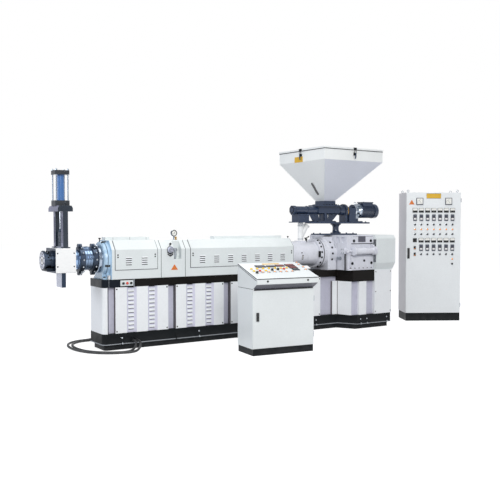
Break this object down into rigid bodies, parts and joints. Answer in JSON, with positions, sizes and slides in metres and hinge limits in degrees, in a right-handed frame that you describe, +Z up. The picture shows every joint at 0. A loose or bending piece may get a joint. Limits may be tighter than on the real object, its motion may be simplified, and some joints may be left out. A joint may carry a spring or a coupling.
{
  "type": "plastic pelletizing machine",
  "caption": "Single-screw plastic pelletizing extruder with hydraulic screen changer, die, screw feeder and square hopper, with its control desk and power cabinet.",
  "frame": {"origin": "on the floor under the barrel axis, on the underside of the machine's plinth", "axes": "+X along the barrel from the die to the gearbox, -Y to the operator's side, +Z up"},
  "size_m": [6.5831, 2.2573, 2.591],
  "materials": {
    "black_paint": "satin black paint",
    "panel_paint": "satin pale grey paint",
    "core_paint": "satin grey-violet paint",
    "hood_paint": "satin off-white paint",
    "bell_paint": "gloss pale blue paint",
    "block_steel": "satin white paint",
    "turned_steel": "turned steel",
    "dark_steel": "blackened steel",
    "cylinder_blue": "gloss blue paint, black heads",
    "casting_paint": "silver-grey enamel on castings",
    "feeder_paint": "gloss dark blue-grey enamel",
    "hopper_paint": "satin pale grey paint",
    "desk_paint": "satin off-white paint",
    "cabinet_paint": "satin off-white paint",
    "hose_rubber": "matt black rubber"
  },
  "bodies": {
    "root": {"base_plinth": "black_paint", "base_core": "core_paint", "base_end_cover": "panel_paint", "front_panel_1": "panel_paint", "front_panel_2": "panel_paint", "front_panel_3": "panel_paint", "front_panel_4": "panel_paint", "rear_panels": "panel_paint", "gearbox_base_panels": "panel_paint", "top_beam": "black_paint", "start_stop_plate": "hood_paint", "front_hood": "hood_paint", "front_hood_door": "hood_paint", "vent_hood": "hood_paint", "vent_port": "turned_steel", "pressure_gauge": "turned_steel", "rear_hood": "hood_paint", "rear_hood_door": "hood_paint", "cable_duct": "hood_paint", "bell_cover": "bell_paint", "barrel_flange": "turned_steel", "rear_clamp": "dark_steel", "head_adapter": "turned_steel", "front_clamp": "dark_steel", "screen_block": "block_steel", "die_head": "dark_steel", "hydraulic_cylinder": "cylinder_blue", "cylinder_yoke": "dark_steel", "feed_barrel": "casting_paint", "throat_housing": "casting_paint", "gearbox": "casting_paint", "oil_cooler": "casting_paint", "belt_guard_upper": "hood_paint", "belt_guard_lower": "panel_paint", "feeder_pedestal": "feeder_paint", "feeder_base_plate": "feeder_paint", "feeder_screw_housing": "feeder_paint", "feeder_chute": "feeder_paint", "drop_tube": "block_steel", "feeder_reducer": "feeder_paint", "feeder_motor": "feeder_paint", "hopper": "hopper_paint", "hopper_lid": "hopper_paint", "desk_plinth": "black_paint", "desk_body": "desk_paint", "cabinet_plinth": "black_paint", "cabinet_shell": "cabinet_paint", "hose_inner": "hose_rubber", "hose_outer": "hose_rubber"},
    "screen_slide": {"slide_plate": "turned_steel", "rod_coupling": "dark_steel"},
    "desk_lid_body": {"desk_lid": "desk_paint"},
    "desk_door_body": {"desk_door": "desk_paint"},
    "cabinet_door_body": {"cabinet_door": "cabinet_paint"}
  },
  "joints": [
    {"name": "screen_slide", "type": "slide", "parent": "root", "child": "screen_slide", "axis": [0, 0, 1], "range_m": [0, 0.16]},
    {"name": "desk_lid_hinge", "type": "hinge", "parent": "root", "child": "desk_lid_body", "pos_m": [-0.05981, -1.07649, 1.035], "axis": [-0.9939, 0.1106, 0], "range_deg": [0, 60]},
    {"name": "desk_door_hinge", "type": "hinge", "parent": "root", "child": "desk_door_body", "pos_m": [0.30498, -1.51453, 0.4], "axis": [0, 0, 1], "range_deg": [0, 110]},
    {"name": "cabinet_door_hinge", "type": "hinge", "parent": "root", "child": "cabinet_door_body", "pos_m": [3.87935, -0.65997, 1], "axis": [0, 0, 1], "range_deg": [0, 110]}
  ]
}
